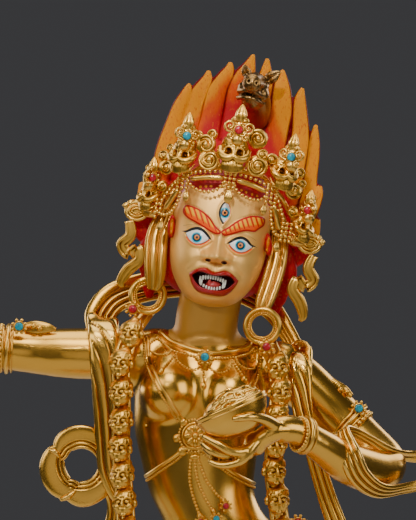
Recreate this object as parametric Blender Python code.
"""Dancing Vajravarahi: gilt copper figure with painted flame hair, skull crown, garland and scarf.

Metres, +Z up, the figure faces -Y. The origin is the middle of the base's underside.
The figure's own forms are given in millimetres of a statue that is SOLE_TO_TIP tall above its
base, and follow that height. The base, the stones and every clearance have their own sizes.
"""

import math

import bmesh
import bpy
from mathutils import Matrix, Vector
from mathutils.bvhtree import BVHTree

# Driving sizes
SOLE_TO_TIP = 0.4035          # underside of the standing foot to the highest flame tip
BASE_HEIGHT = 0.0315
BASE_LENGTH = 0.156
BASE_DEPTH = 0.112
PETALS = 18
PETAL_RELIEF = 0.0045
GAP = 0.0003                  # clearance between pieces that touch
STONE_RADIUS = 0.0018
SMALL_STONE_RADIUS = 0.0014
STONE_RISE = 0.0014
SETTING_WALL = 0.0011         # metal round a stone
SCARF_THICKNESS = 0.0026
CUP_RADIUS = 0.0165
CUP_TIP = math.radians(24)
KNIFE_THICKNESS = 0.0032

MM = SOLE_TO_TIP / 403.5      # one millimetre of the figure's own forms
SOLE_LEVEL = 31.5             # where those forms put the sole
HEAD_TILT = math.radians(9.0)
HEAD_CENTRE = (4.5, -6.0, 353.0)

# Fineness of the cast surface
BODY_VOXEL = 0.00115
FINE_VOXEL = 0.00085
CRUMB_SIZE = 0.003            # a loose speck smaller than this after a cut is swarf
TRIANGLES = {
    "figure": 2800,
    "flame_hair": 850,
    "sow_head": 230,
    "skull_crown": 1100,
    "head_garland": 1050,
    "scarf": 720,
    "arm_scarf": 330,
    "skull_cup": 230,
    "curved_knife": 200,
}

# Finishes: base colour, roughness, metallic
GILT = ((0.83, 0.58, 0.24), 0.28, 1.0)
FLAME = ((0.85, 0.33, 0.06), 0.55, 0.0)
ANTIQUE = ((0.36, 0.25, 0.12), 0.4, 1.0)
TURQUOISE = ((0.02, 0.47, 0.55), 0.3, 0.0)
CORAL = ((0.62, 0.03, 0.05), 0.3, 0.0)


def at(x, y, z):
    """A point of the figure, from millimetres of its own forms."""
    return Vector((x * MM, y * MM, BASE_HEIGHT + (z - SOLE_LEVEL) * MM))


HEAD = Matrix.Translation(at(*HEAD_CENTRE)) @ Matrix.Rotation(HEAD_TILT, 4, "Y")


def on_head(x, y, z):
    """A point of the tilted head, from its own centre: right, back and up."""
    return HEAD @ Vector((x * MM, y * MM, z * MM))


def finish(name, values):
    """A plain material for one piece."""
    material = bpy.data.materials.new(name)
    material.use_nodes = True
    shader = material.node_tree.nodes["Principled BSDF"]
    colour, roughness, metallic = values
    shader.inputs["Base Color"].default_value = (*colour, 1.0)
    shader.inputs["Roughness"].default_value = roughness
    shader.inputs["Metallic"].default_value = metallic
    material.diffuse_color = (*colour, 1.0)
    return material


def curve_through(points, steps):
    """A smooth run of tuples through the given tuples."""
    run = []
    ends = [points[0], *points, points[-1]]
    for before, a, b, after in zip(ends, ends[1:], ends[2:], ends[3:]):
        for step in range(steps):
            t = step / steps
            run.append(
                tuple(
                    0.5 * (2 * q + (r - p) * t + (2 * p - 5 * q + 4 * r - s) * t**2
                           + (3 * q - p - 3 * r + s) * t**3)
                    for p, q, r, s in zip(before, a, b, after)
                )
            )
    run.append(tuple(points[-1]))
    return run


def sweep(bm, points, radii, side, flat=1.0, sides=10, closed=False):
    """A closed tube along points; its width lies along side, its thickness is flat times that."""
    rings = []
    count = len(points)
    for i, (point, radius) in enumerate(zip(points, radii)):
        after = points[(i + 1) % count] if closed else points[min(i + 1, count - 1)]
        before = points[i - 1] if closed else points[max(i - 1, 0)]
        along = (after - before).normalized()
        wide = (side - along * side.dot(along)).normalized()
        thick = along.cross(wide)
        ring = []
        for k in range(sides):
            turn = math.tau * k / sides
            offset = wide * math.cos(turn) * radius + thick * math.sin(turn) * radius * flat
            ring.append(bm.verts.new(point + offset))
        rings.append(ring)
    pairs = list(zip(rings, rings[1:] + rings[:1])) if closed else list(zip(rings, rings[1:]))
    for a, b in pairs:
        for k in range(sides):
            n = (k + 1) % sides
            bm.faces.new((a[k], a[n], b[n], b[k]))
    if not closed:
        bm.faces.new(rings[0][::-1])
        bm.faces.new(rings[-1])


def limb(bm, rows, side=(0, 1, 0), flat=1.0, steps=4, place=at):
    """A rounded limb through rows of x, y, z and radius, all in millimetres, with round ends."""
    run = curve_through(rows, steps)
    points = [place(x, y, z) for x, y, z, _ in run]
    sweep(bm, points, [r * MM for *_, r in run], Vector(side), flat)
    for x, y, z, r in (rows[0], rows[-1]):
        ball(bm, place(x, y, z), (r * MM * 0.97,) * 3)


def ball(bm, centre, radii, turn=None, sides=12):
    """An ellipsoid."""
    matrix = Matrix.Translation(centre) @ (turn or Matrix()) @ Matrix.Diagonal((*radii, 1.0))
    bmesh.ops.create_uvsphere(bm, u_segments=sides, v_segments=sides // 2 + 2, radius=1.0,
                              matrix=matrix)


def lump(bm, place, x, y, z, rx, ry, rz, turn=None):
    """An ellipsoid in millimetres, on the body or on the head."""
    ball(bm, place(x, y, z), (rx * MM, ry * MM, rz * MM), turn)


def hoop(bm, centre, normal, radius, wire, flat=1.0, steps=20, stretch=1.0):
    """A ring of round wire about a point; sizes in metres."""
    normal = normal.normalized()
    across = normal.orthogonal().normalized()
    if abs(normal.z) < 0.99:
        across = normal.cross(Vector((0, 0, 1))).normalized()
    up = across.cross(normal)
    points = []
    for i in range(steps):
        turn = math.tau * i / steps
        points.append(centre + across * math.cos(turn) * radius
                      + up * math.sin(turn) * radius * stretch)
    sweep(bm, points, [wire] * steps, normal, flat, sides=8, closed=True)


def trunk(bm, rows, steps=3, sides=28):
    """A stack of level ellipses: x, y, z, half width and half depth in millimetres."""
    rings = []
    for x, y, z, rx, ry in curve_through(rows, steps):
        ring = []
        for k in range(sides):
            turn = math.tau * k / sides
            ring.append(bm.verts.new(at(x + rx * math.cos(turn), y + ry * math.sin(turn), z)))
        rings.append(ring)
    for a, b in zip(rings, rings[1:]):
        for k in range(sides):
            n = (k + 1) % sides
            bm.faces.new((a[k], a[n], b[n], b[k]))
    bm.faces.new(rings[0][::-1])
    bm.faces.new(rings[-1])


def piece(name, bm, values):
    """Makes a named object of a bmesh."""
    bmesh.ops.recalc_face_normals(bm, faces=bm.faces)
    mesh = bpy.data.meshes.new(name)
    bm.to_mesh(mesh)
    bm.free()
    obj = bpy.data.objects.new(name, mesh)
    mesh.materials.append(finish(name, values))
    bpy.context.scene.collection.objects.link(obj)
    return obj


def settle(obj):
    """Puts the shape that the object's modifiers give into its mesh."""
    shaped = obj.evaluated_get(bpy.context.evaluated_depsgraph_get())
    mesh = bpy.data.meshes.new_from_object(shaped)
    obj.modifiers.clear()
    obj.data = mesh


def fuse(obj, voxel):
    """Fuses overlapping forms into one skin, softened where they meet."""
    remesh = obj.modifiers.new("Fuse", "REMESH")
    remesh.mode = "VOXEL"
    remesh.voxel_size = voxel
    soften = obj.modifiers.new("Soften", "SMOOTH")
    soften.factor = 0.5
    soften.iterations = 2
    settle(obj)


def thin(obj):
    """Brings the skin down to the piece's share of triangles."""
    obj.data.calc_loop_triangles()
    share = TRIANGLES[obj.name] / len(obj.data.loop_triangles)
    if share < 1.0:
        fewer = obj.modifiers.new("Thin", "DECIMATE")
        fewer.ratio = share
        fewer.use_collapse_triangulate = True
        settle(obj)


def press(obj, centre, radius, depth, push):
    """Presses a soft round hollow into the skin."""
    for vertex in obj.data.vertices:
        reach = (vertex.co - centre).length / radius
        if reach < 1.0:
            vertex.co += push * depth * (1.0 - reach * reach) ** 2


def clear_of(obj, *carriers):
    """Cuts the piece back to GAP from the pieces that carry it."""
    for carrier in carriers:
        grown = carrier.data.copy()
        for vertex in grown.vertices:
            vertex.co += vertex.normal * GAP * 1.25
        cutter = bpy.data.objects.new(f"{obj.name}_from_{carrier.name}", grown)
        cutter.hide_render = True
        cutter.display_type = "WIRE"
        bpy.context.scene.collection.objects.link(cutter)
        cut = obj.modifiers.new("Clear", "BOOLEAN")
        cut.operation = "DIFFERENCE"
        cut.object = cutter
        settle(obj)
        bpy.data.objects.remove(cutter)


def drop_crumbs(obj):
    """Drops the specks that a cut leaves loose; a larger loose form stays, as a fault to mend."""
    bm = bmesh.new()
    bm.from_mesh(obj.data)
    left = set(bm.verts)
    crumbs = []
    while left:
        stack = [left.pop()]
        shell = set(stack)
        while stack:
            for edge in stack.pop().link_edges:
                for vertex in edge.verts:
                    if vertex in left:
                        left.discard(vertex)
                        shell.add(vertex)
                        stack.append(vertex)
        corners = [v.co for v in shell]
        span = max(max(c[k] for c in corners) - min(c[k] for c in corners) for k in range(3))
        if span < CRUMB_SIZE:
            crumbs.extend(shell)
    bmesh.ops.delete(bm, geom=crumbs, context="VERTS")
    bm.to_mesh(obj.data)
    bm.free()


def skin_of(obj):
    """A tree that finds where a ray meets the piece."""
    mesh = obj.data
    points = [v.co for v in mesh.vertices]
    return BVHTree.FromPolygons(points, [list(p.vertices) for p in mesh.polygons])


def front_of(tree, x, z):
    """Where the piece's front lies at x and z, in millimetres, and how it faces."""
    point, normal, _, _ = tree.ray_cast(at(x, -150.0, z), Vector((0, 1, 0)))
    return point, normal


def shade(obj):
    """Smooth faces with crisp edges."""
    obj.data.shade_smooth()
    obj.data.set_sharp_from_angle(angle=math.radians(50))


# The figure

TORSO = [  # x, y, z, half width, half depth
    (10.5, 2, 184, 20, 17), (11.5, 0, 196, 31, 22), (12.0, 0, 208, 31, 22),
    (9.0, 0, 217, 28.5, 20), (0.8, -1, 226.5, 23.6, 17.5), (-4.6, -1, 238, 23.6, 17),
    (-6.0, -1, 252, 26.0, 18), (-6.6, -1, 266, 28.3, 19), (-6.0, -1, 280, 29.0, 19.5),
    (-5.2, 0, 292, 30.0, 18), (-4.6, 1, 300, 30.0, 14.5), (-3.5, 2, 306, 19.0, 12.0),
    (-3.0, 1, 311, 13.5, 11.5),
]
NECK = [(-3.0, 1, 300, 14.5), (-2.5, -1, 314, 14.2), (0.5, -4, 326, 14.0)]
RAISED_ARM = [
    (-32, 1, 297, 13.0), (-46, 2, 299.5, 12.0), (-66, 2, 300, 11.4), (-84, 2, 301, 9.8),
    (-100, 0, 303, 9.6), (-109, -2, 307, 9.8), (-115, -8, 320, 9.2), (-120, -12, 337, 7.6),
    (-124, -15, 354, 5.8), (-126, -17, 362, 5.6),
]
CUP_ARM = [
    (30, 1, 293, 13.0), (40, 2, 287, 12.0), (54, 1, 274, 11.2), (67, -3, 262, 10.2),
    (78, -9, 251, 9.6), (72, -20, 248, 10.2), (60, -35, 252, 9.4), (48, -49, 260, 7.6),
    (37, -57, 267, 6.4), (30, -60, 268, 6.6),
]
STANDING_LEG = [
    (25, 0, 196, 20), (31, -5, 172, 18.2), (38, -13, 146, 14.8), (41, -19, 122, 12.2),
    (37, -12, 100, 12.0), (29, -4, 78, 10.6), (21, 2, 56, 7.4), (17, 4, 44, 6.8),
]
STANDING_FOOT = [(16, 9, 37.5, 6.0), (20, -6, 38.5, 6.4), (27, -24, 36.0, 6.2), (30, -34, 34.8, 4.0)]
RAISED_LEG = [
    (-3, -2, 195, 19), (-22, -9, 181, 17.2), (-42, -17, 165, 14.2), (-62, -25, 150, 11.6),
    (-53, -33, 141, 10.8), (-35, -38, 134, 10.4), (-15, -41, 127, 8.0), (0, -41, 122, 6.2),
]
RAISED_FOOT = [(5, -40, 121, 6.0), (16, -43, 111, 6.0), (26, -46, 101, 5.2), (31, -47, 96, 3.6)]


def add_hands(bm):
    """The fist that holds the knife, and the hand under the cup."""
    limb(bm, [(-126, -17, 360, 5.6), (-128, -18, 369, 6.6)], flat=0.8)
    for k in range(4):
        z = 364.0 + 3.4 * k
        limb(bm, [(-132.5, -17, z, 2.0), (-131, -24, z, 2.1), (-125.5, -24, z + 0.4, 2.0)])
    limb(bm, [(-124, -16, 365, 2.4), (-122, -22, 370, 2.1), (-126, -26, 374, 1.9)])
    limb(bm, [(30, -60, 268, 6.6), (20, -60, 262, 7.6), (11, -59, 259, 6.6)], flat=0.8)
    fingers = (
        [(14, -64, 259, 2.6), (6, -67, 262, 2.3), (-2, -68, 263.5, 1.9), (-4, -67, 264, 1.6)],
        [(12, -62, 256, 2.6), (4, -65, 257, 2.4), (-3, -66, 260, 2.0)],
        [(13, -60, 253, 2.6), (5, -62, 252, 2.4), (-1, -62, 253, 1.9)],
        [(18, -59, 253, 2.5), (9, -61, 248.5, 2.2), (1, -61, 251, 1.7)],
        [(24, -64, 268, 3.0), (16, -69, 268.5, 2.5), (10, -71, 270, 2.0)],
    )
    for finger in fingers:
        limb(bm, finger)


def add_head(bm):
    """Skull, jaw, cheeks, brows, nose, open mouth, ears and their long lobes."""
    lump(bm, on_head, 0, 1, 8, 23.5, 27, 30)
    lump(bm, on_head, -1, -3, -8, 21.5, 24.5, 20)
    lump(bm, on_head, -1, -13, -20, 14.5, 15.5, 12.5)
    lump(bm, on_head, -1, -30.5, -9.5, 3.4, 4.2, 3.2)
    limb(bm, [(-1.2, -26, 4, 2.2), (-1.2, -29.5, -7, 2.6)], place=on_head)
    for hand in (-1, 1):
        lump(bm, on_head, hand * 13.0 - 1, -16, -10, 7.5, 9, 7.5)
        lump(bm, on_head, hand * 4.2 - 1, -27.5, -10, 2.7, 3.6, 2.4)
        lump(bm, on_head, hand * 9.9 - 1, -21.2, -3, 4.6, 4.4, 3.2)
        limb(bm, [(hand * 2.5 - 1, -26.5, 2, 1.5), (hand * 9 - 1, -24.5, 5.5, 2.5),
                  (hand * 18 - 1, -17, 13.5, 2.2)], place=on_head)
        limb(bm, [(hand * 24, 0, 8, 4.0), (hand * 27, -1, -6, 4.4), (hand * 27, -3, -20, 4.4),
                  (hand * 25.5, -4, -27, 3.2)], flat=0.7, place=on_head)
    for height, fall in ((-14.6, 1.5), (-26.5, -2.0)):
        limb(bm, [(-10.5, -20.5, -20, 1.6), (-5, -26.5, height + fall * 0.2, 1.8),
                  (-1, -27.5, height, 1.8), (3, -26.5, height + fall * 0.2, 1.8),
                  (8.5, -20.5, -20, 1.6)], place=on_head)


def add_jewellery(bm, tree):
    """Earrings, necklace, crossed belts, medallion, girdle, armlets, bracelets and anklets."""
    for x, y, z in ((-28.8, -8, 326.0), (22.5, -15, 312.5)):
        hoop(bm, at(x, y, z), Vector((0.1, -1, 0)), 6.9 * MM, 1.9 * MM)
    laid = (
        (1.5, [(-24, 307), (-19, 304.5), (-10, 301.5), (0, 299.8), (10, 300.5), (16, 303)]),
        (1.3, [(-28, 305), (-27, 298), (-24, 289), (-19, 279), (-12, 269)]),
        (1.3, [(-25, 244), (-21, 251), (-15, 258), (-7, 262), (2, 260), (10, 253), (15, 245)]),
        (1.2, [(-24, 300), (-20, 296.5), (-15, 298), (-10, 292), (-4, 297), (2, 291.5), (9, 297),
               (14, 293), (18, 296)]),
        (1.1, [(-8, 257), (-9, 240), (-5, 226)]),
        (1.1, [(-7, 257), (-3, 242), (2, 227)]),
        (1.1, [(-6, 257), (1, 245), (6, 233)]),
    )
    for wire, route in laid:
        run = []
        for x, z in curve_through(route, 3):
            point, normal = front_of(tree, x, z)
            run.append(point + normal * wire * 0.35 * MM)
        sweep(bm, run, [wire * MM] * len(run), Vector((0, 1, 0)), sides=6)
    boss, _ = front_of(tree, -7.6, 262.5)
    ball(bm, boss, (6.6 * MM, 2.8 * MM, 6.6 * MM))
    for i in range(16):
        turn = math.tau * i / 16
        ball(bm, boss + Vector((math.cos(turn), -0.15, math.sin(turn))) * 6.8 * MM,
             (1.2 * MM,) * 3, sides=6)
    girdle = []
    for i in range(36):
        turn = math.tau * i / 36
        girdle.append(at(11.5 + 31 * math.cos(turn), 21.5 * math.sin(turn),
                         213 + 8 * math.cos(turn)))
    sweep(bm, girdle, [2.3 * MM] * 36, Vector((0, 0, 1)), closed=True)
    for i in range(9):
        turn = math.radians(200 + 17.5 * i)
        x, y = 11.5 + 32 * math.cos(turn), 22.5 * math.sin(turn)
        z = 213 + 8 * math.cos(turn)
        limb(bm, [(x, y, z - 2, 1.6), (x, y * 1.03, z - 11, 1.4), (x, y * 1.02, z - 19, 2.2)])
    bands = (
        ((-92, 1, 302), (1, 0, -0.06), 10.2), ((-94.5, 1, 302), (1, 0, -0.06), 10.0),
        ((61.5, -1, 267), (-0.75, 0.15, 0.66), 11.2), ((63.5, -1.5, 265), (-0.75, 0.15, 0.66), 10.8),
        ((40.5, -55, 265), (0.85, 0.5, -0.15), 7.9), ((-125, -16, 357), (0.15, 0.1, -1), 7.0),
        ((18, 4, 47), (0.3, -0.1, 1), 8.2), ((1, -41, 122), (0.85, 0, -0.4), 7.6),
    )
    for centre, axis, radius in bands:
        hoop(bm, at(*centre), Vector(axis), radius * MM, 1.5 * MM)
    lump(bm, at, -86.5, -5, 308.5, 4.2, 3.2, 4.2)
    lump(bm, at, -79, -4, 308.8, 6.0, 2.6, 3.0)
    lump(bm, at, 65.5, -3.5, 274, 3.8, 3.2, 3.8)


def make_figure():
    """The cast body with its jewellery, its sole cut flat."""
    bm = bmesh.new()
    trunk(bm, TORSO)
    limb(bm, NECK)
    for rows in (RAISED_ARM, CUP_ARM, STANDING_LEG, RAISED_LEG, RAISED_FOOT, STANDING_FOOT):
        limb(bm, rows)
    for x, z in ((-18.5, 282.5), (8.5, 280.0)):
        lump(bm, at, x, -15.5, z, 12.2, 11.5, 12.2)
    for x, z in ((-5, 200), (26, 203)):
        lump(bm, at, x, 12, z, 16.5, 15, 18)
    lump(bm, at, 25, 0, 209, 16, 18, 15)
    lump(bm, at, -25, 2, 300, 17, 11.5, 11.5)
    lump(bm, at, 17, 2, 296.5, 17, 11.5, 10)
    add_hands(bm)
    add_head(bm)
    bare = bm.copy()
    bare_mesh = piece("bare_body", bare, GILT)
    fuse(bare_mesh, BODY_VOXEL)
    add_jewellery(bm, skin_of(bare_mesh))
    bpy.data.objects.remove(bare_mesh)
    for _, x, y, z, radius, _ in BODY_STONES:
        ball(bm, at(x, y, z), (radius + SETTING_WALL,) * 3)
    obj = piece("figure", bm, GILT)
    fuse(obj, BODY_VOXEL)
    mouth = on_head(-1, -29, -20.5)
    press(obj, mouth, 7.2 * MM, 4.5 * MM, Vector((0, 1, 0)))
    thin(obj)
    cut = bmesh.new()
    cut.from_mesh(obj.data)
    sole = bmesh.ops.bisect_plane(cut, geom=cut.verts[:] + cut.edges[:] + cut.faces[:],
                                  plane_co=(0, 0, BASE_HEIGHT + GAP), plane_no=(0, 0, -1),
                                  clear_outer=True)
    rim = [g for g in sole["geom_cut"] if isinstance(g, bmesh.types.BMEdge)]
    bmesh.ops.holes_fill(cut, edges=rim)
    cut.to_mesh(obj.data)
    cut.free()
    return obj


# The base

def make_base():
    """An oval double lotus, its petals a wave round the rim."""
    bm = bmesh.new()
    columns = PETALS * 3
    profile = [  # share of the height, inset in metres, share of the petal relief
        (0.0, 0.0, 0.0), (0.20, 0.001, 1.0), (0.42, 0.005, 0.7), (0.50, 0.009, 0.0),
        (0.60, 0.006, 0.7), (0.82, 0.002, 1.0), (0.91, 0.005, 0.0), (1.0, 0.005, 0.0),
    ]
    rings = []
    for share, inset, relief in profile:
        ring = []
        for k in range(columns):
            turn = math.tau * k / columns
            swell = PETAL_RELIEF * relief * (abs(math.cos(PETALS * turn / 2)) - 1.0)
            reach_x = BASE_LENGTH / 2 - inset + swell
            reach_y = BASE_DEPTH / 2 - inset + swell
            ring.append(bm.verts.new((reach_x * math.cos(turn), reach_y * math.sin(turn),
                                      BASE_HEIGHT * share)))
        rings.append(ring)
    for a, b in zip(rings, rings[1:]):
        for k in range(columns):
            n = (k + 1) % columns
            bm.faces.new((a[k], a[n], b[n], b[k]))
    bm.faces.new(rings[0][::-1])
    bm.faces.new(rings[-1])
    return piece("lotus_base", bm, GILT)


# Hair, sow's head and crown, in the head's own millimetres

BLADES = [  # each blade's run up the fan: right, up and half width
    [(-33, -4, 5.5), (-38.5, 4, 4.4), (-42.5, 9, 1.4)],
    [(-30, 4, 5.5), (-36, 12, 4.6), (-39.5, 17.5, 1.4)],
    [(-31, 18, 4.6), (-31.6, 30, 4.4), (-31, 37.5, 4.2), (-29.6, 46.4, 3.6), (-28, 54.7, 3.2),
     (-25.8, 61.9, 2.2), (-25.2, 64.6, 1.0)],
    [(-22.8, 26, 5.4), (-23.2, 40, 5), (-22.3, 48.9, 4.8), (-21.5, 56.7, 4.3), (-20, 63, 3.9),
     (-17.7, 68.8, 2.5), (-17.5, 71.8, 1.1)],
    [(-13, 30, 6), (-13.5, 44.3, 5.8), (-13.1, 51, 5.3), (-12.8, 58.4, 5), (-12.1, 65.2, 4.5),
     (-9.7, 71.3, 3.5), (-8.4, 75, 2.2), (-8.4, 77.1, 1.1)],
    [(-3.5, 34, 6), (-3.5, 52.6, 5.2), (-3.2, 60.3, 5.2), (-2.5, 67.1, 5.4), (-0.9, 73.4, 4.8),
     (0.1, 77, 3.3), (1.2, 81.9, 1.1)],
    [(6.5, 34, 5.6), (6.7, 54.4, 4.4), (7.8, 62.7, 4.4), (8.3, 70.1, 4), (8.2, 74.7, 3.2),
     (7.8, 81.2, 1.1)],
    [(16, 30, 6), (17.1, 53.3, 5.6), (17.5, 60.6, 5.2), (16.7, 67.3, 4.5), (16, 72.2, 3.4),
     (15.4, 77.4, 1.1)],
    [(26.5, 22, 5.4), (27.8, 43.1, 4.9), (27.7, 51.3, 4.2), (25.9, 61.2, 3.4), (25.1, 66.7, 2.6),
     (25.4, 70.6, 1.1)],
    [(34, 12, 4.6), (35.8, 23.8, 3.4), (35.3, 33.4, 3.2), (35.1, 41.1, 3), (34.5, 48.3, 2.6),
     (34, 55.1, 1.1)],
    [(30, 4, 5.5), (36, 14, 4.6), (39.5, 24, 2.8), (40, 29, 1.2)],
    [(33, -4, 5.5), (39, 5, 4.2), (41.5, 14, 1.4)],
]
BLADE_FRONT = 9.0             # how far behind the head's middle the blades stand
BLADE_STAGGER = 1.5           # every other blade stands this much further back


def make_hair(figure):
    """Broad flame blades side by side behind the head, with shallow notches between the tips."""
    bm = bmesh.new()
    lump(bm, on_head, 0, 12, 14, 27, 22, 30)
    lump(bm, on_head, 0, 14, -8, 30, 17, 22)
    for i, blade in enumerate(BLADES):
        back = BLADE_FRONT + BLADE_STAGGER * (i % 2)
        root, tip = blade[0], blade[-1]
        limb(bm, [(root[0] * 0.6, back, root[1] * 0.6, 8.0)]
             + [(x, back, z, half) for x, z, half in blade],
             side=(1, 0, 0), flat=0.75, place=on_head)
        limb(bm, [(root[0] * 0.5, 20, root[1] * 0.6, 8.0),
                  (tip[0] * 0.7, 19, root[1] + (tip[1] - root[1]) * 0.4, 6.6),
                  (tip[0] * 0.86, 14, root[1] + (tip[1] - root[1]) * 0.82, 2.6)],
             side=(1, 0, 0), flat=0.7, place=on_head)
    for hand in (-1, 1):
        limb(bm, [(hand * 22, 9, 4, 8), (hand * 30, 9, -8, 7), (hand * 34, 9, -16, 3.0)],
             side=(1, 0, 0), flat=0.7, place=on_head)
    obj = piece("flame_hair", bm, FLAME)
    fuse(obj, BODY_VOXEL)
    thin(obj)
    clear_of(obj, figure)
    drop_crumbs(obj)
    return obj


def make_sow(hair):
    """A sow's head with snout disc, ears and neck, thrust out of the flames."""
    bm = bmesh.new()
    limb(bm, [(7, 8, 55, 5.0), (6.8, -1, 61, 5.6), (5.8, -7, 66, 6.4)], place=on_head)
    limb(bm, [(5.0, -10, 66.5, 5.6), (2.6, -17, 67.5, 4.2), (1.9, -20, 68, 3.8)], place=on_head)
    hoop(bm, on_head(1.7, -21.2, 68.2), Vector((-0.3, -1, 0.1)), 2.6 * MM, 1.3 * MM)
    lump(bm, on_head, 1.7, -20.8, 68.2, 3.4, 1.4, 3.4)
    limb(bm, [(4.5, -13, 62, 2.6), (3.4, -17, 62.4, 2.0)], place=on_head)
    limb(bm, [(2.4, -5, 72, 2.2), (0.6, -7, 76, 1.4)], place=on_head)
    limb(bm, [(10.4, -4, 70, 2.8), (13.6, -7, 73, 2.0), (14.6, -8, 75.5, 1.0)], place=on_head)
    obj = piece("sow_head", bm, ANTIQUE)
    fuse(obj, FINE_VOXEL)
    thin(obj)
    clear_of(obj, hair)
    drop_crumbs(obj)
    return obj


SKULLS = [  # right, back, up, and size
    (0.0, -32.0, 37.0, 1.0), (-21.8, -25.0, 32.5, 0.92), (21.8, -25.0, 32.5, 0.92),
    (-34.0, -7.0, 12.5, 0.8), (34.0, -7.0, 9.5, 0.8),
]


def add_skull(bm, x, y, z, size):
    """One crown skull with its setting and its finial."""
    lump(bm, on_head, x, y, z + 1.5 * size, 6.6 * size, 5.6 * size, 5.8 * size)
    lump(bm, on_head, x, y - 1.2, z - 3.6 * size, 4.6 * size, 4.4 * size, 4.0 * size)
    lump(bm, on_head, x, y - 2.4, z - 7.4 * size, 3.2 * size, 2.6 * size, 2.8 * size)
    for hand in (-1, 1):
        lump(bm, on_head, x + hand * 3.4 * size, y - 3.2, z - 1.8 * size, 2.2 * size, 1.9, 1.8)
        limb(bm, [(x + hand * 6.4 * size, y + 1, z + 4 * size, 1.6),
                  (x + hand * 7.6 * size, y + 1, z + 9 * size, 1.7),
                  (x + hand * 4.2 * size, y + 1, z + 13 * size, 1.4)], place=on_head)
    limb(bm, [(x, y, z + 5 * size, 4.2), (x, y + 0.5, z + 11 * size, 3.9),
              (x, y + 1, z + 16 * size, 2.1), (x, y + 1, z + 20 * size, 1.1)], place=on_head)


def make_crown(figure, hair):
    """The five-skull crown on its beaded band, with scrolls, swags, side knots and ribbons."""
    bm = bmesh.new()
    for height, wire, lean in ((27.0, 1.7, 0.0), (22.8, 1.7, 0.4), (31.5, 2.6, 1.0)):
        run = []
        for i in range(21):
            turn = math.radians(-82 + 8.2 * i)
            drop = 13.0 * (1 - math.cos(turn)) ** 1.2
            run.append(on_head(27.5 * math.sin(turn), -29.5 * math.cos(turn) + lean,
                               height - drop))
        sweep(bm, run, [wire * MM] * len(run), Vector((0, 0, 1)), sides=8)
    for skull in SKULLS:
        add_skull(bm, *skull)
    scrolls = [(-11.5, -31, 33, 3.2), (11.5, -31, 33, 3.2), (11.5, -29, 44, 3.0),
               (-11.5, -29, 42, 3.0), (-26.0, -15.5, 25, 3.8), (26.0, -15.5, 24, 3.8)]
    for x, y, z, radius in scrolls:
        hoop(bm, on_head(x, y, z), Vector((x * 0.04, -1, 0)), radius * MM, 1.5 * MM, steps=12)
    for start, low, stop in (((-16, 24), (-8.5, 14.5), (0, 23)), ((0, 23), (8.5, 14.5), (16, 24))):
        run = []
        for x, z in curve_through([start, low, stop], 4):
            run.append(on_head(x, -math.sqrt(max(31.5**2 - x * x * 1.15, 4.0)), z))
        sweep(bm, run, [1.0 * MM] * len(run), Vector((0, 0, 1)), sides=6)
    for hand, tilt in ((-1, 0.0), (1, -2.5)):
        limb(bm, [(hand * 25, -14, 20, 1.1), (hand * 26, -15, 9, 1.1),
                  (hand * 28, -11, 6, 1.2), (hand * 31, -6, 6, 2.4)], place=on_head)
        hoop(bm, on_head(hand * 38.5, -2, 5.5 + tilt), Vector((hand * 0.3, -1, 0)),
             3.9 * MM, 1.7 * MM, stretch=0.8, steps=14)
        lump(bm, on_head, hand * 38.5, -1, 5.5 + tilt, 3.6, 1.6, 3.0)
        lump(bm, on_head, hand * 33, -5, 8.0 + tilt, 3.2, 3.6, 4.0)
        limb(bm, [(hand * 42, 0, 0 + tilt, 1.7), (hand * 40.5, 0, -6 + tilt, 1.9),
                  (hand * 43.5, 1, -11 + tilt, 2.1), (hand * 39, 1, -14 + tilt, 2.1),
                  (hand * 36, 0, -11 + tilt, 2.0), (hand * 35, 0, -17 + tilt, 2.2),
                  (hand * 40, 1, -22 + tilt, 2.4), (hand * 40, 2, -27 + tilt, 1.8)],
             place=on_head)
        limb(bm, [(hand * 38.5, 0, 3 + tilt, 2.0), (hand * 42, 0, -1 + tilt, 1.8)], place=on_head)
    for _, x, y, z, _ in CROWN_STONES:
        ball(bm, on_head(x, y, z), (STONE_RADIUS + SETTING_WALL,) * 3)
    obj = piece("skull_crown", bm, GILT)
    fuse(obj, FINE_VOXEL)
    for x, y, z, size in SKULLS:
        for hand in (-1, 1):
            socket = on_head(x + hand * 2.9 * size, y - 5.0 * size, z + 0.6 * size)
            press(obj, socket, 2.5 * MM * size, 2.2 * MM * size, Vector((0, 1, 0)))
    thin(obj)
    clear_of(obj, figure, hair)
    drop_crumbs(obj)
    return obj


# Garland, scarf, cup and knife

GARLAND = [  # down her right side, across the thighs and up her left side
    (-30, -6, 318), (-36, -17, 309), (-40.5, -21, 296), (-40.5, -22, 283), (-40.5, -22, 270),
    (-41, -22, 258), (-40, -23, 246), (-39, -24, 234), (-38, -26, 221), (-36, -29, 208),
    (-31, -34, 195), (-24, -39, 182), (-14, -42, 170), (-2, -43, 163), (10, -43, 162),
    (20, -40, 169), (28, -36, 181), (32, -31, 194), (33, -27, 207), (31, -24, 221),
    (29, -23, 235), (27.5, -24, 248), (28, -25, 260), (29, -24, 272), (30, -22, 283),
    (29, -19, 294), (25, -8, 305),
]


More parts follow.
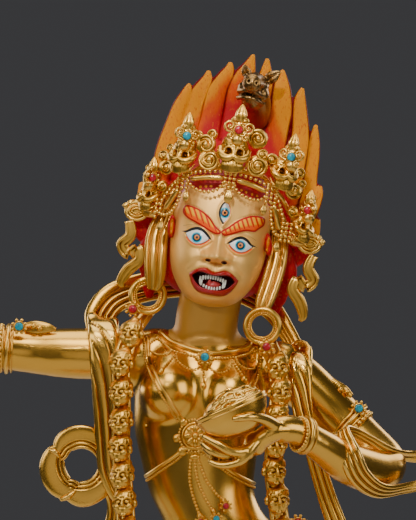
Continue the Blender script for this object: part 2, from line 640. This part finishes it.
def make_garland(carriers):
    """Small severed heads on a strap, each with brow, nose, jaw and topknot."""
    bm = bmesh.new()
    run = curve_through(GARLAND, 3)
    sweep(bm, [at(x, y + 3.5, z) for x, y, z in run], [2.4 * MM] * len(run), Vector((1, 0, 0)),
          flat=0.6)
    for x, y, z in GARLAND[1:-1]:
        facing = Matrix.Rotation(math.radians(-8 if x < 0 else 10), 4, "Z")
        lump(bm, at, x, y, z, 4.8, 4.8, 5.6, facing)
        lump(bm, at, x, y - 3.2, z - 3.0, 2.9, 2.4, 2.7, facing)
        lump(bm, at, x, y - 4.6, z - 0.6, 1.2, 1.6, 1.6, facing)
        lump(bm, at, x, y + 1.5, z + 4.4, 3.2, 3.0, 2.8, facing)
        lump(bm, at, x + 4.6, y + 1.0, z, 1.2, 1.6, 2.0, facing)
    obj = piece("head_garland", bm, GILT)
    fuse(obj, FINE_VOXEL)
    thin(obj)
    clear_of(obj, *carriers)
    drop_crumbs(obj)
    return obj


SHAWL = [  # behind the neck, shoulder to shoulder: x, y, z and half width
    (-50, 4, 311, 6.5), (-50, 9, 318, 7.0), (-42, 14, 326, 7.0), (-22, 20, 331, 6.5),
    (4, 22, 331, 6.0), (24, 18, 322, 5.0), (34, 12, 309, 4.0), (39, 7, 298, 4.0),
]
SHAWL_HUB = (-2, 0, 300)
RIGHT_HANGING = [  # over her right shoulder, down to the loop and on behind the garland
    (-49, 15, 292, 6.5), (-49.5, 15, 303, 7.0), (-49.5, 9, 312.5, 7.0), (-49, -2, 314.5, 7.0),
    (-48.5, -11, 309, 6.5), (-48, -13.5, 298, 6.0), (-48, -14, 284, 5.8), (-47, -14, 270, 5.5),
    (-46, -13, 258, 5.0), (-48, -12, 246, 5.0), (-55, -10, 238.5, 5.0), (-64, -8, 240, 5.0),
    (-70, -7, 248, 5.0), (-67, -8, 258, 5.0), (-59, -10, 262, 4.6), (-51, -12, 259, 4.2),
]
RIGHT_TAIL = [
    (-49, -10, 246, 4.5), (-43, -8, 235, 4.5), (-44, -6, 222, 4.8), (-53, -5, 210, 5.0),
    (-68, -4, 202, 5.4), (-80, -3, 190, 5.6), (-84, -3, 176, 4.2), (-80, -3, 166, 2.0),
]
LEFT_HANGING = [
    (36, 13, 296, 4.8), (38.5, 9, 300, 5.0), (40, -3, 301, 5.0), (40, -11, 296, 5.0),
    (40, -13, 285, 4.8), (41, -13, 272, 4.6), (45, -11, 259, 4.2), (48, -9, 247, 4.0),
    (52, -8, 234, 4.2), (57, -7, 220, 4.6), (60, -6, 205, 5.0), (67, -5, 190, 5.2),
    (76, -4, 178, 4.6), (80, -4, 168, 2.2),
]
LEFT_WRAP = [
    (118, 4, 268, 2.2), (108, 4, 258, 4.6), (98, 2, 254, 5.0), (88, -5, 256, 4.6),
    (79, -18, 260, 4.4), (69, -22, 265, 4.4), (60, -28, 268, 4.6), (56, -38, 265.5, 4.8),
    (60, -47, 256, 5.0), (67, -42, 243.5, 5.0), (78, -28, 237, 5.0), (90, -18, 239, 4.8),
    (102, -12, 244, 4.8), (114, -10, 240, 4.8), (122, -10, 228, 3.8), (122, -10, 217, 2.0),
]


def add_ribbon(bm, rows, side):
    """A pleated band of cloth through rows of x, y, z and half width, in three raised lanes."""
    run = curve_through(rows, 4)
    points = [at(x, y, z) for x, y, z, _ in run]
    widths = [w * MM for *_, w in run]
    across = Vector(side).normalized()
    thin_share = SCARF_THICKNESS / (max(widths) * 0.84)
    for shift in (-0.62, 0.0, 0.62):
        lane = [p + across * w * shift for p, w in zip(points, widths)]
        sweep(bm, lane, [max(w * 0.42, SCARF_THICKNESS * 0.5) for w in widths], across,
              flat=thin_share, sides=8)


def make_scarf(carriers):
    """The long scarf: shawl arc behind the neck, shoulder cloths, loop and hanging tails."""
    bm = bmesh.new()
    hub = at(*SHAWL_HUB)
    for x, y, z, width in curve_through(SHAWL, 5):
        point = at(x, y, z)
        lean = Matrix.Rotation(math.atan2(point.x - hub.x, point.z - hub.z), 4, "Y")
        ball(bm, point, (width * 0.55 * MM, SCARF_THICKNESS * 0.6, width * MM), lean, sides=8)
    add_ribbon(bm, RIGHT_HANGING, (1, 0, 0))
    add_ribbon(bm, RIGHT_TAIL, (1, 0, 0.2))
    add_ribbon(bm, LEFT_HANGING, (1, 0, 0))
    obj = piece("scarf", bm, GILT)
    fuse(obj, FINE_VOXEL)
    thin(obj)
    clear_of(obj, *carriers)
    drop_crumbs(obj)
    return obj


def make_arm_scarf(carriers):
    """The scarf's far end, from behind the left elbow over the crook and out below the forearm."""
    bm = bmesh.new()
    add_ribbon(bm, LEFT_WRAP, (0.75, 0.1, 0.5))
    obj = piece("arm_scarf", bm, GILT)
    fuse(obj, FINE_VOXEL)
    thin(obj)
    clear_of(obj, *carriers)
    drop_crumbs(obj)
    return obj


def make_cup(carriers):
    """A skull bowl tipped in the hand, with the heaped relief cast in it."""
    bm = bmesh.new()
    place = Matrix.Translation(at(8.5, -66, 276.5)) @ Matrix.Rotation(-CUP_TIP, 4, "Y")
    profile = [(0.30, -0.72), (0.62, -0.60), (0.86, -0.34), (1.0, 0.0), (1.02, 0.10), (0.94, 0.12)]
    sides = 24
    rings = []
    for reach, height in profile:
        ring = []
        for k in range(sides):
            turn = math.tau * k / sides
            ring.append(bm.verts.new(place @ Vector((
                CUP_RADIUS * reach * math.cos(turn), CUP_RADIUS * 0.86 * reach * math.sin(turn),
                CUP_RADIUS * height))))
        rings.append(ring)
    for a, b in zip(rings, rings[1:]):
        for k in range(sides):
            n = (k + 1) % sides
            bm.faces.new((a[k], a[n], b[n], b[k]))
    bm.faces.new(rings[0][::-1])
    bm.faces.new(rings[-1])
    for k in range(7):
        reach = -0.72 + 0.24 * k
        ball(bm, place @ Vector((CUP_RADIUS * reach, 0, CUP_RADIUS * (0.42 - 0.5 * reach * reach))),
             (3.6 * MM, 6.0 * MM, 4.0 * MM), sides=8)
    obj = piece("skull_cup", bm, GILT)
    fuse(obj, FINE_VOXEL)
    thin(obj)
    clear_of(obj, *carriers)
    drop_crumbs(obj)
    return obj


def make_knife():
    """A curved knife: round handle, half-thunderbolt knob and a crescent blade with a hook."""
    bm = bmesh.new()
    limb(bm, [(-128, -20.5, 352, 1.9), (-128, -20.5, 366, 2.0), (-128, -20.5, 388, 2.2)])
    for z, radius in ((351, 3.0), (346, 2.2), (386, 3.2)):
        lump(bm, at, -128, -20.5, z, radius, radius, 2.6)
    half = KNIFE_THICKNESS / 2
    blade = [(-128, 388, 4.5), (-134, 393, 5.2), (-141, 393, 4.6), (-147, 388, 3.4),
             (-150, 380, 2.2), (-149, 374, 1.4)]
    for rows in (blade, [(-128, 388, 4.5), (-121, 393, 4.8), (-114, 392, 3.6), (-108, 386, 1.8)]):
        run = curve_through(rows, 4)
        points = [at(x, -20.5, z) for x, z, _ in run]
        widths = [w * MM for *_, w in run]
        sweep(bm, points, widths, Vector((0, 0, 1)), flat=half / (max(widths) * 0.7), sides=8)
    obj = piece("curved_knife", bm, GILT)
    fuse(obj, FINE_VOXEL)
    thin(obj)
    return obj


# Stones: name, place, radius if not all alike, and finish

BODY_STONES = [
    ("stone_right_earring", -35.5, -8.5, 320.0, STONE_RADIUS, CORAL),
    ("stone_left_earring", 24.3, -16.0, 303.3, STONE_RADIUS, CORAL),
    ("stone_necklace", -3.2, -18.5, 298.8, STONE_RADIUS, TURQUOISE),
    ("stone_right_armlet", -86.5, -6.5, 312.2, STONE_RADIUS, TURQUOISE),
    ("stone_left_armlet", 65.8, -6.0, 275.5, STONE_RADIUS, TURQUOISE),
    ("stone_belt_right", -5.0, -19.0, 225.2, SMALL_STONE_RADIUS, CORAL),
    ("stone_belt_middle", 2.0, -19.0, 226.6, SMALL_STONE_RADIUS, TURQUOISE),
    ("stone_belt_left", 6.2, -18.5, 232.2, SMALL_STONE_RADIUS, CORAL),
    ("stone_girdle", 38.5, -9.0, 224.5, STONE_RADIUS, CORAL),
]
CROWN_STONES = [
    ("stone_crown_middle", 0.0, -36.5, 47.0, CORAL),
    ("stone_crown_right", -22.3, -29.0, 41.0, TURQUOISE),
    ("stone_crown_left", 24.8, -29.0, 39.0, TURQUOISE),
    ("stone_crown_far_right", -34.8, -11.0, 20.5, CORAL),
    ("stone_crown_far_left", 36.0, -11.0, 17.0, CORAL),
]


def make_stone(name, centre, radius, values):
    """A round cabochon, domed to the front and flat behind."""
    bm = bmesh.new()
    sides = 8
    rings = []
    for share, reach in ((0.0, 1.0), (0.5, 0.9), (1.0, 0.5)):
        ring = []
        for k in range(sides):
            turn = math.tau * k / sides
            ring.append(bm.verts.new(centre + Vector((
                math.cos(turn) * radius * reach, -STONE_RISE * share,
                math.sin(turn) * radius * reach))))
        rings.append(ring)
    for a, b in zip(rings, rings[1:]):
        for k in range(sides):
            n = (k + 1) % sides
            bm.faces.new((a[k], a[n], b[n], b[k]))
    bm.faces.new(rings[0][::-1])
    bm.faces.new(rings[-1])
    return piece(name, bm, values)


def set_stone(name, tree, probe, radius, values):
    """Seats a stone on the front of its setting, clear of it all round."""
    seats = []
    for share in (0.0, 0.55, 1.0):
        for k in range(12):
            turn = math.tau * k / 12
            reach = share * radius
            start = Vector((probe.x + math.cos(turn) * reach, -BASE_LENGTH,
                            probe.z + math.sin(turn) * reach))
            point = tree.ray_cast(start, Vector((0, 1, 0)))[0]
            if point:
                seats.append(point.y)
    return make_stone(name, Vector((probe.x, min(seats) - GAP, probe.z)), radius, values)


def main():
    """Clears the scene and makes every piece."""
    for obj in list(bpy.data.objects):
        bpy.data.objects.remove(obj)
    base = make_base()
    figure = make_figure()
    knife = make_knife()
    clear_of(figure, knife)
    drop_crumbs(figure)
    hair = make_hair(figure)
    sow = make_sow(hair)
    crown = make_crown(figure, hair)
    cup = make_cup((figure,))
    scarf = make_scarf((figure, hair, crown))
    arm_scarf = make_arm_scarf((figure, scarf))
    garland = make_garland((figure, scarf, hair, crown, cup))
    figure_skin = skin_of(figure)
    crown_skin = skin_of(crown)
    for name, x, y, z, radius, values in BODY_STONES:
        set_stone(name, figure_skin, at(x, y, z), radius, values)
    for name, x, y, z, values in CROWN_STONES:
        set_stone(name, crown_skin, on_head(x, y, z), STONE_RADIUS, values)
    for obj in (base, figure, hair, sow, crown, cup, knife, scarf, arm_scarf, garland):
        shade(obj)


main()
